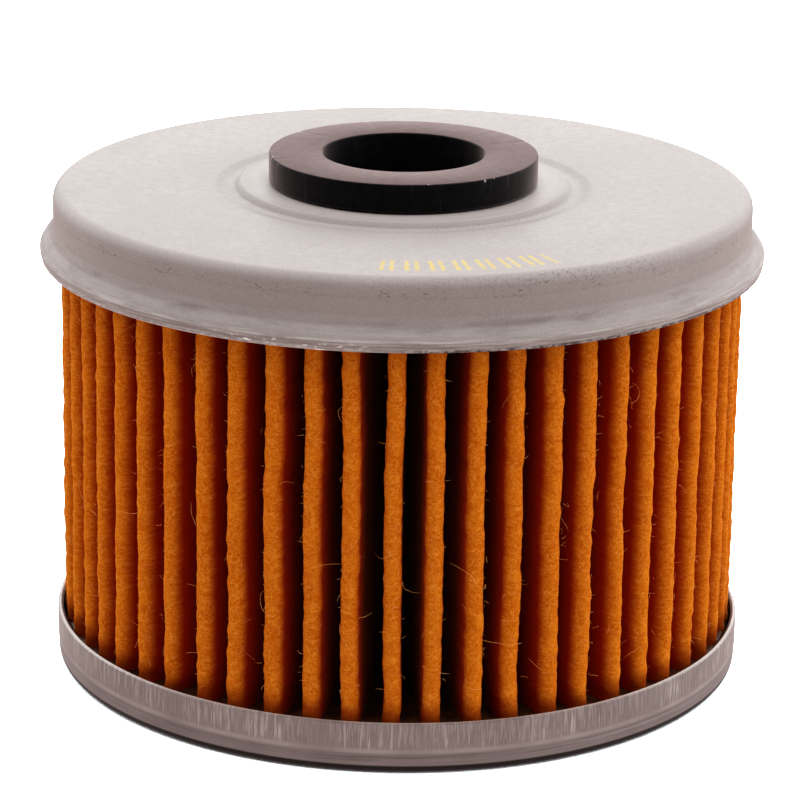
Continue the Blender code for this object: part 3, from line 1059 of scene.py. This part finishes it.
def make_cage(material):
    """The valve's cup, with four windows left open in its wall."""
    top = top_of("bypass_valve_cage")
    low = bottom_of("bypass_valve_cage")
    flange = radius_of("bypass_valve_cage")
    wall = 6.6
    windows = 4
    steps = 96
    pitch = steps // windows
    window_half = 5.6
    # the wall's rows of faces, from the windows' upper edge to their lower edge
    heights = [10.4, 9.4, 8.2, 7.0, 5.8, 4.8]
    near = 0.01
    line = filleted(
        [
            (2.0, top, 0),
            (wall, top, 0.9),
            (wall, low + SHEET, 0.35),
            (flange, low + SHEET, 0),
        ]
    )
    points = []
    for point, after in zip(line, line[1:]):
        points.append(point)
        if after[1] < heights[0] < point[1] and abs(point[0] - wall) < near:
            points += [(wall, z) for z in heights]
    points.append(line[-1])
    shape = bmesh.new()
    rings = []
    for r, z in points:
        spots = [polar(r, 2 * math.pi * k / steps, z) for k in range(steps)]
        rings.append([shape.verts.new(spot) for spot in spots])
    for (_, z), (_, z_after), here, after in zip(points, points[1:], rings, rings[1:]):
        at_windows = heights[0] + near > z > z_after > heights[-1] - near
        for k in range(steps):
            from_window = abs((k + 0.5 - pitch / 2) % pitch - pitch / 2)
            if at_windows and from_window <= window_half:
                continue
            n = (k + 1) % steps
            shape.faces.new((here[k], after[k], after[n], here[n]))
    piece = add_mesh("valve_cage_cup", shape, material, sharp_degrees=35)
    solidified(piece, SHEET)
    place(piece, "bypass_valve_cage")


def make_poppet(material):
    """The valve's disc, with a stem below it and a boss above it that the spring sits round."""
    low, high = bottom_of("bypass_valve_poppet"), top_of("bypass_valve_poppet")
    disc = radius_of("bypass_valve_poppet")
    disc_low = top_of("bypass_valve_facing") + 0.3
    disc_high = disc_low + 0.6
    boss = 3.1
    stem = 1.7
    outline = filleted(
        [
            (0.0, high, 0),
            (boss, high, 0.5),
            (boss, disc_high, 0.2),
            (disc, disc_high, 0.15),
            (disc, disc_low, 0.15),
            (stem, disc_low, 0.1),
            (stem, low, 0.25),
            (0.0, low, 0),
        ],
        segments=4,
    )
    piece = turned("valve_poppet_disc", outline, material, 96)
    place(piece, "bypass_valve_poppet", MOVING)


def make_facing(material):
    """The rubber washer under the disc."""
    low, high = bottom_of("bypass_valve_facing"), top_of("bypass_valve_facing")
    outer = radius_of("bypass_valve_facing")
    middle = (low + high) / 2
    hole = 2.0
    outline = filleted(
        [
            (hole, middle, 0),
            (hole, high, 0.1),
            (outer, high, 0.15),
            (outer, low, 0.15),
            (hole, low, 0.1),
            (hole, middle, 0),
        ],
        segments=3,
    )
    piece = turned("valve_facing_washer", outline[:-1], material, 96)
    place(piece, "bypass_valve_facing", MOVING)


def make_spring(material):
    """The compression spring. Each end coil rises by end_rise, which closes it on the next."""
    wire = 0.35
    radius = radius_of("bypass_spring") - wire
    low, high = bottom_of("bypass_spring") + wire, top_of("bypass_spring") - wire
    turns = 5.0
    points_a_turn = 32
    count = int(turns * points_a_turn) + 1
    end_rise = 2 * wire + 0.1
    points = []
    for i in range(count):
        turn = i / points_a_turn
        if turn < 1:
            z = low + end_rise * turn
        elif turn > turns - 1:
            z = high - end_rise * (turns - turn)
        else:
            z = low + end_rise + (turn - 1) / (turns - 2) * (high - low - 2 * end_rise)
        points.append(Vector(polar(radius, 2 * math.pi * turn, z)))
    shape = bmesh.new()
    tube_along(shape, points, [wire] * count, 16)
    piece = add_mesh("valve_spring_coil", shape, material, sharp_degrees=60)
    place(piece, "bypass_spring")
    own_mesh(piece)


# The studio


def make_floor():
    """A pale floor. The object gets a dim bounce and a warm glow from it; the camera sees it lit
    twice over, which burns it out to white."""
    size = 2.5
    below = 0.00002
    mesh = bpy.data.meshes.new("floor")
    corners = [(-size, -size, 0.0), (size, -size, 0.0), (size, size, 0.0), (-size, size, 0.0)]
    mesh.from_pydata(corners, [], [(0, 1, 2, 3)])
    floor = bpy.data.objects.new("floor", mesh)
    bpy.context.scene.collection.objects.link(floor)
    floor.location.z = cad_box[0][2] - below
    material = bpy.data.materials.new("floor")
    material.use_nodes = True
    tree = material.node_tree
    tree.nodes.clear()

    def diffuse(colour):
        node = tree.nodes.new("ShaderNodeBsdfDiffuse")
        node.inputs["Color"].default_value = colour
        return node.outputs[0]

    def added(first, second):
        node = tree.nodes.new("ShaderNodeAddShader")
        tree.links.new(first, node.inputs[0])
        tree.links.new(second, node.inputs[1])
        return node.outputs[0]

    glow = tree.nodes.new("ShaderNodeEmission")
    glow.inputs["Color"].default_value = rgb(1.0, 0.81, 0.78)
    glow.inputs["Strength"].default_value = 0.50
    bounced = added(diffuse(rgb(0.26, 0.225, 0.22)), glow.outputs[0])
    seen = added(diffuse(rgb(1.0, 1.0, 1.0)), diffuse(rgb(1.1, 1.3, 1.35)))
    ray = tree.nodes.new("ShaderNodeLightPath")
    choice = tree.nodes.new("ShaderNodeMixShader")
    tree.links.new(ray.outputs["Is Camera Ray"], choice.inputs["Fac"])
    tree.links.new(bounced, choice.inputs[1])
    tree.links.new(seen, choice.inputs[2])
    output = tree.nodes.new("ShaderNodeOutputMaterial")
    tree.links.new(choice.outputs[0], output.inputs["Surface"])
    mesh.materials.append(material)


def make_world():
    """Soft light all round: white overhead and behind the filter, a little stronger at its sides
    and most on its right, and dim low down on the camera's side. The camera itself sees white."""
    right_weight = 0.40
    sides_weight = 0.50
    up_weight = 1.8
    dim_below = -0.04
    full_above = 1.4
    world = bpy.data.worlds.new("studio")
    bpy.context.scene.world = world
    world.use_nodes = True
    tree = world.node_tree
    tree.nodes.clear()

    def reckon(operation, *sources):
        node = tree.nodes.new("ShaderNodeMath")
        node.operation = operation
        for socket, source in zip(node.inputs, sources):
            if isinstance(source, float):
                socket.default_value = source
            else:
                tree.links.new(source, socket)
        return node.outputs[0]

    direction = tree.nodes.new("ShaderNodeTexCoord")
    split = tree.nodes.new("ShaderNodeSeparateXYZ")
    tree.links.new(direction.outputs["Generated"], split.inputs[0])
    x, y, z = split.outputs
    lean = reckon("MULTIPLY_ADD", x, right_weight, y)
    sides = reckon("MULTIPLY_ADD", reckon("MULTIPLY", x, x), sides_weight, lean)
    rise = reckon("MULTIPLY_ADD", z, up_weight, sides)
    share = tree.nodes.new("ShaderNodeMapRange")
    share.interpolation_type = "SMOOTHSTEP"
    share.inputs["From Min"].default_value = dim_below
    share.inputs["From Max"].default_value = full_above
    tree.links.new(rise, share.inputs["Value"])
    ray = tree.nodes.new("ShaderNodeLightPath")
    white_share = reckon("MAXIMUM", share.outputs["Result"], ray.outputs["Is Camera Ray"])
    colour = tree.nodes.new("ShaderNodeMix")
    colour.data_type = "RGBA"
    colour.inputs[COLOUR_A].default_value = rgb(0.110, 0.088, 0.083)
    colour.inputs[COLOUR_B].default_value = rgb(1.0, 1.0, 1.0)
    tree.links.new(white_share, colour.inputs["Factor"])
    background = tree.nodes.new("ShaderNodeBackground")
    background.inputs["Strength"].default_value = 1.8
    tree.links.new(colour.outputs[MIXED_COLOUR], background.inputs["Color"])
    output = tree.nodes.new("ShaderNodeOutputWorld")
    tree.links.new(background.outputs[0], output.inputs["Surface"])


def make_camera():
    """A long lens on the -Y side, a little above the filter and turned slightly about its axis."""
    data = bpy.data.cameras.new("camera")
    data.sensor_width = 36.0
    data.lens = 168.5
    data.clip_start = 0.01
    camera = bpy.data.objects.new("camera", data)
    bpy.context.scene.collection.objects.link(camera)
    place_of_camera = (0.0, -0.2851, 0.1108)
    down = math.radians(17.55)
    roll = math.radians(0.85)
    turn = Matrix.Rotation(math.pi / 2 - down, 4, "X") @ Matrix.Rotation(roll, 4, "Z")
    camera.matrix_world = Matrix.Translation(place_of_camera) @ turn
    bpy.context.scene.camera = camera


def main():
    steel = plain_steel()
    dark_rubber = rubber()
    glue = resin()
    make_top_cap(grey_paint())
    make_bottom_cap(drawn_steel())
    make_seal(dark_rubber)
    angles = make_pleats(filter_paper())
    make_loose_fibres(angles, loose_fibre())
    make_resin_ring("bottom_resin_bead", "bottom_adhesive", glue, rise=0.35)
    make_resin_ring("top_resin_bead", "top_adhesive", glue, rise=-0.2)
    make_seam_clip(steel)
    make_tube(steel)
    make_cage(steel)
    make_poppet(steel)
    make_facing(dark_rubber)
    make_spring(spring_steel())
    make_floor()
    make_world()
    make_camera()
    bpy.context.scene.view_settings.view_transform = "Standard"
    bpy.context.scene.view_settings.look = "Medium High Contrast"


main()
